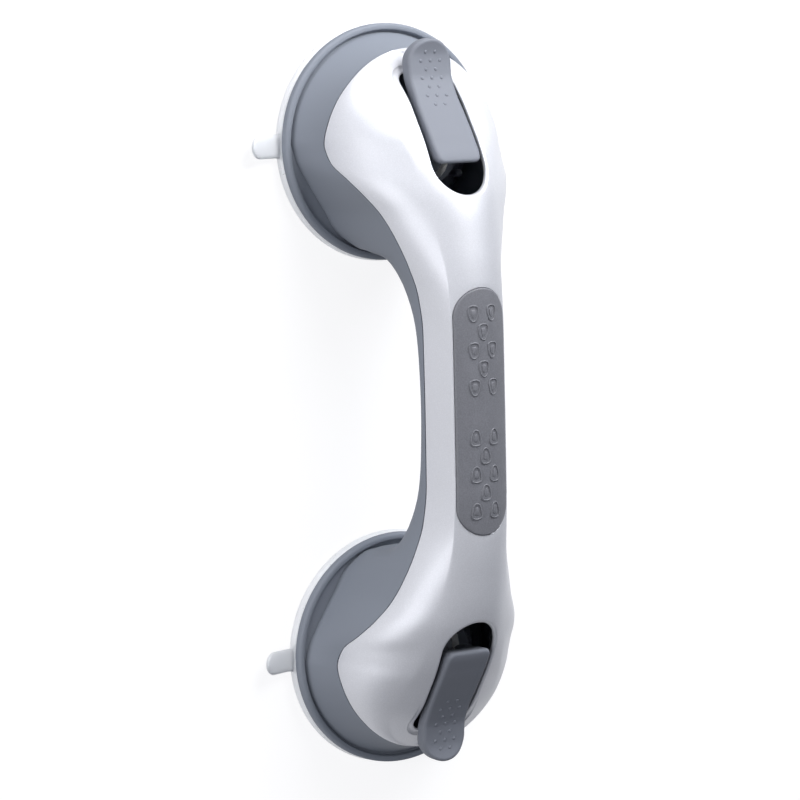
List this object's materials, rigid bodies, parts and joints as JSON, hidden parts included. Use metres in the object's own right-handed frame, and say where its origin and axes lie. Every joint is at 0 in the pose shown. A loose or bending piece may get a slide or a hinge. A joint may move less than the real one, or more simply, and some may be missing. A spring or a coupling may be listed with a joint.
{
  "type": "suction grab bar",
  "caption": "Hand bar with a suction cup at each end; a cam lever over each cup draws its middle up through a plunger to hold the bar on a smooth wall.",
  "frame": {"origin": "on the surface that the cups stand on, under the middle of the object's box; the bar's own middle plane is 6.9 mm further to +Y, because the cups' pull tabs stand out to -Y", "axes": "+X along the hand bar towards end a, +Z away from the surface that the cups hold to, -Y the side of the pull tabs"},
  "size_m": [0.3, 0.109, 0.0739],
  "materials": {
    "housing_plastic": "satin moulded ABS",
    "lever_plastic": "satin moulded ABS, slightly darker",
    "silver_paint": "pearl silver paint on ABS, fine flake",
    "pad_rubber": "soft matte TPE",
    "cup_tpe": "translucent white TPE",
    "clear_plastic": "clear moulded plastic",
    "pin_steel": "ground stainless steel",
    "screw_steel": "zinc plated steel",
    "acetal": "natural acetal"
  },
  "bodies": {
    "bar": {"lower_housing": "housing_plastic", "top_cover": "silver_paint", "grip_pad": "pad_rubber", "suction_cup_a": "cup_tpe", "suction_cup_b": "cup_tpe", "thrust_plate_a": "acetal", "thrust_plate_b": "acetal", "housing_screw_a1": "screw_steel", "housing_screw_a2": "screw_steel", "housing_screw_a3": "screw_steel", "housing_screw_a4": "screw_steel", "housing_screw_b1": "screw_steel", "housing_screw_b2": "screw_steel", "housing_screw_b3": "screw_steel", "housing_screw_b4": "screw_steel"},
    "plunger_a": {"plunger_a": "clear_plastic", "lever_pin_a": "pin_steel"},
    "lever_a": {"lever_a": "lever_plastic"},
    "plunger_b": {"plunger_b": "clear_plastic", "lever_pin_b": "pin_steel"},
    "lever_b": {"lever_b": "lever_plastic"}
  },
  "joints": [
    {"name": "plunger_slide_a", "type": "slide", "parent": "bar", "child": "plunger_a", "axis": [0, 0, 1], "range_m": [-0.0046, 0], "deforming": ["suction_cup_a"]},
    {"name": "lever_hinge_a", "type": "hinge", "parent": "plunger_a", "child": "lever_a", "pos_m": [0.1024, 0.0069, 0.0465], "axis": [0, -1, 0], "range_deg": [0, 85]},
    {"name": "plunger_slide_b", "type": "slide", "parent": "bar", "child": "plunger_b", "axis": [0, 0, 1], "range_m": [-0.0046, 0], "deforming": ["suction_cup_b"]},
    {"name": "lever_hinge_b", "type": "hinge", "parent": "plunger_b", "child": "lever_b", "pos_m": [-0.1024, 0.0069, 0.0465], "axis": [0, 1, 0], "range_deg": [0, 85]}
  ],
  "couplings": [
    {"joint": "plunger_slide_a", "follows": "lever_hinge_a", "m_per_rad": -0.0030333},
    {"joint": "plunger_slide_b", "follows": "lever_hinge_b", "m_per_rad": -0.0030333}
  ]
}
